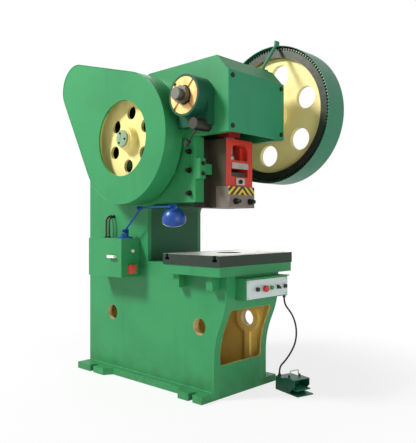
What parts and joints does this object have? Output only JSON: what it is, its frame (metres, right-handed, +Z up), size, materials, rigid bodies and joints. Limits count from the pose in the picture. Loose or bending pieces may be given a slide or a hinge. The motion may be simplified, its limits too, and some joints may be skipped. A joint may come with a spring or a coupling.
{
  "type": "mechanical punch press",
  "caption": "Deep-throat C-frame crank press with guarded flywheel and gear drive, sliding ram, slotted bolster, control box, foot pedal and work lamp.",
  "frame": {"origin": "on the floor under the centre of the slide", "axes": "+X to the operator's right, +Y from the front to the back, +Z up"},
  "size_m": [1.095, 1.759, 2.33],
  "materials": {
    "machine_green": "gloss machine paint, slightly worn",
    "wheel_cream": "gloss paint",
    "slide_red": "gloss paint, bare steel on the guides",
    "clamp_stripes": "yellow and black striped paint",
    "lamp_blue": "gloss enamel",
    "pedal_green": "gloss paint",
    "machined_steel": "ground and lightly oiled",
    "dark_steel": "oily dark steel",
    "bronze": "turned bronze",
    "belt_rubber": "matte rubber",
    "black_plastic": "moulded",
    "red_plastic": "moulded",
    "green_plastic": "moulded",
    "white_plastic": "moulded",
    "panel_silver": "satin anodised",
    "bulb_glass": "frosted",
    "motor_grey": "painted ribbed iron"
  },
  "bodies": {
    "frame": {"base_plate": "machine_green", "side_plate_left": "machine_green", "side_plate_right": "machine_green", "front_wall": "machine_green", "rear_plate": "machine_green", "throat_plate": "machine_green", "top_plate": "machine_green", "table_slab": "machine_green", "guide_block": "machine_green", "front_cover": "machine_green", "crank_bearings": "machine_green", "drive_bearings": "machine_green", "belt_guard": "machine_green", "gear_guard": "machine_green", "cabinet_box": "machine_green", "control_box": "machine_green", "gib_keepers": "machine_green", "lamp_foot": "lamp_blue", "pedal_housing": "pedal_green", "bolster_plate": "machined_steel", "frame_fasteners": "machined_steel", "gibs": "machined_steel", "conduits": "dark_steel", "crank_bushes": "bronze", "drive_belts": "belt_rubber", "pedal_lead": "belt_rubber", "cord_glands": "black_plastic", "switch_base": "red_plastic", "control_panel": "panel_silver", "motor": "motor_grey"},
    "crank": {"crankshaft": "dark_steel"},
    "rod": {"connecting_rod": "dark_steel", "rod_cap": "dark_steel", "ball_screw": "machined_steel"},
    "slide": {"slide": "slide_red", "clamp_block": "clamp_stripes", "clamp_studs": "machined_steel", "slide_plates": "machined_steel"},
    "knockout": {"knockout_bar": "dark_steel"},
    "gear": {"bull_gear": "wheel_cream"},
    "flywheel": {"flywheel": "wheel_cream", "pinion_shaft": "dark_steel"},
    "rotor": {"motor_pulley": "dark_steel"},
    "trip": {"trip_shaft": "dark_steel"},
    "door": {"cabinet_door": "machine_green"},
    "door_lever": {"door_handle": "white_plastic"},
    "switch": {"switch_grip": "red_plastic"},
    "knob": {"cabinet_knob": "white_plastic"},
    "start": {"start_button": "black_plastic"},
    "stop": {"stop_button": "red_plastic"},
    "motor_on": {"motor_button": "green_plastic"},
    "selector": {"selector_knob": "black_plastic"},
    "inch": {"inch_button": "black_plastic"},
    "treadle": {"treadle": "dark_steel"},
    "handle": {"carry_handle": "machined_steel"},
    "lamp_lower": {"lamp_lower_arm": "lamp_blue"},
    "lamp_upper": {"lamp_upper_arm": "lamp_blue"},
    "lamp_head": {"lamp_shade": "lamp_blue", "bulb": "bulb_glass"}
  },
  "joints": [
    {"name": "flywheel_spin", "type": "hinge", "parent": "frame", "child": "flywheel", "pos_m": [0, 0.58468, 1.62607], "axis": [1, 0, 0], "continuous": true},
    {"name": "gear_spin", "type": "hinge", "parent": "frame", "child": "gear", "pos_m": [0, 0, 1.82], "axis": [1, 0, 0], "continuous": true},
    {"name": "motor_spin", "type": "hinge", "parent": "frame", "child": "rotor", "pos_m": [-0.3, 1.108, 2.038], "axis": [1, 0, 0], "continuous": true},
    {"name": "crank_turn", "type": "hinge", "parent": "frame", "child": "crank", "pos_m": [0, 0, 1.82], "axis": [-1, 0, 0], "range_deg": [0, 180]},
    {"name": "rod_swing", "type": "hinge", "parent": "crank", "child": "rod", "pos_m": [0, 0, 1.87], "axis": [-1, 0, 0], "range_deg": [-180, 0]},
    {"name": "slide_stroke", "type": "slide", "parent": "frame", "child": "slide", "axis": [0, 0, 1], "range_m": [-0.1, 0]},
    {"name": "knockout_lift", "type": "slide", "parent": "slide", "child": "knockout", "axis": [0, 0, 1], "range_m": [0, 0.02]},
    {"name": "trip_turn", "type": "hinge", "parent": "frame", "child": "trip", "pos_m": [-0.3, -0.07, 1.647], "axis": [1, 0, 0], "range_deg": [0, 18], "stiffness_Nm_per_rad": 40, "springref_deg": -11.46},
    {"name": "door_swing", "type": "hinge", "parent": "frame", "child": "door", "pos_m": [-0.394, 0.9675, 0.83], "axis": [0, 0, -1], "range_deg": [0, 110]},
    {"name": "door_lever_turn", "type": "hinge", "parent": "door", "child": "door_lever", "pos_m": [-0.406, 0.654, 0.84033], "axis": [1, 0, 0], "range_deg": [0, 90]},
    {"name": "switch_turn", "type": "hinge", "parent": "frame", "child": "switch", "pos_m": [-0.324, 0.56, 0.75681], "axis": [0, 1, 0], "range_deg": [0, 90]},
    {"name": "knob_turn", "type": "hinge", "parent": "frame", "child": "knob", "pos_m": [-0.324, 0.58, 0.87948], "axis": [0, 1, 0], "range_deg": [-135, 135]},
    {"name": "start_press", "type": "slide", "parent": "frame", "child": "start", "axis": [0, 1, 0], "range_m": [0, 0.005], "stiffness_N_per_m": 600, "springref_m": -0.003},
    {"name": "stop_press", "type": "slide", "parent": "frame", "child": "stop", "axis": [0, 1, 0], "range_m": [0, 0.005], "stiffness_N_per_m": 600, "springref_m": -0.003},
    {"name": "motor_press", "type": "slide", "parent": "frame", "child": "motor_on", "axis": [0, 1, 0], "range_m": [0, 0.005], "stiffness_N_per_m": 600, "springref_m": -0.003},
    {"name": "inch_press", "type": "slide", "parent": "frame", "child": "inch", "axis": [0, 1, 0], "range_m": [0, 0.005], "stiffness_N_per_m": 600, "springref_m": -0.003},
    {"name": "selector_turn", "type": "hinge", "parent": "frame", "child": "selector", "pos_m": [0.132, -0.283, 0.668], "axis": [0, 1, 0], "range_deg": [0, 60]},
    {"name": "treadle_press", "type": "hinge", "parent": "frame", "child": "treadle", "pos_m": [0.23668, -0.33472, 0.028], "axis": [0.9659, -0.2588, 0], "range_deg": [0, 10], "stiffness_Nm_per_rad": 8, "springref_deg": -11.46},
    {"name": "handle_fold", "type": "hinge", "parent": "frame", "child": "handle", "pos_m": [0.23435, -0.34341, 0.103], "axis": [0.9659, -0.2588, 0], "range_deg": [-75, 75]},
    {"name": "lamp_lower_turn", "type": "hinge", "parent": "frame", "child": "lamp_lower", "pos_m": [-0.332, 0.65, 1.013], "axis": [1, 0, 0], "range_deg": [0, 12]},
    {"name": "lamp_elbow_turn", "type": "hinge", "parent": "lamp_lower", "child": "lamp_upper", "pos_m": [-0.34, 0.479, 1.165], "axis": [1, 0, 0], "range_deg": [-4, 12]},
    {"name": "lamp_head_tilt", "type": "hinge", "parent": "lamp_upper", "child": "lamp_head", "pos_m": [-0.332, 0.169, 1.166], "axis": [1, 0, 0], "range_deg": [-10, 15]}
  ],
  "couplings": [
    {"joint": "gear_spin", "follows": "flywheel_spin", "ratio": -0.35385},
    {"joint": "motor_spin", "follows": "flywheel_spin", "ratio": 7.5},
    {"joint": "rod_swing", "follows": "crank_turn", "ratio": -1},
    {"joint": "slide_stroke", "follows": "crank_turn", "m_per_rad": -0.031831}
  ]
}
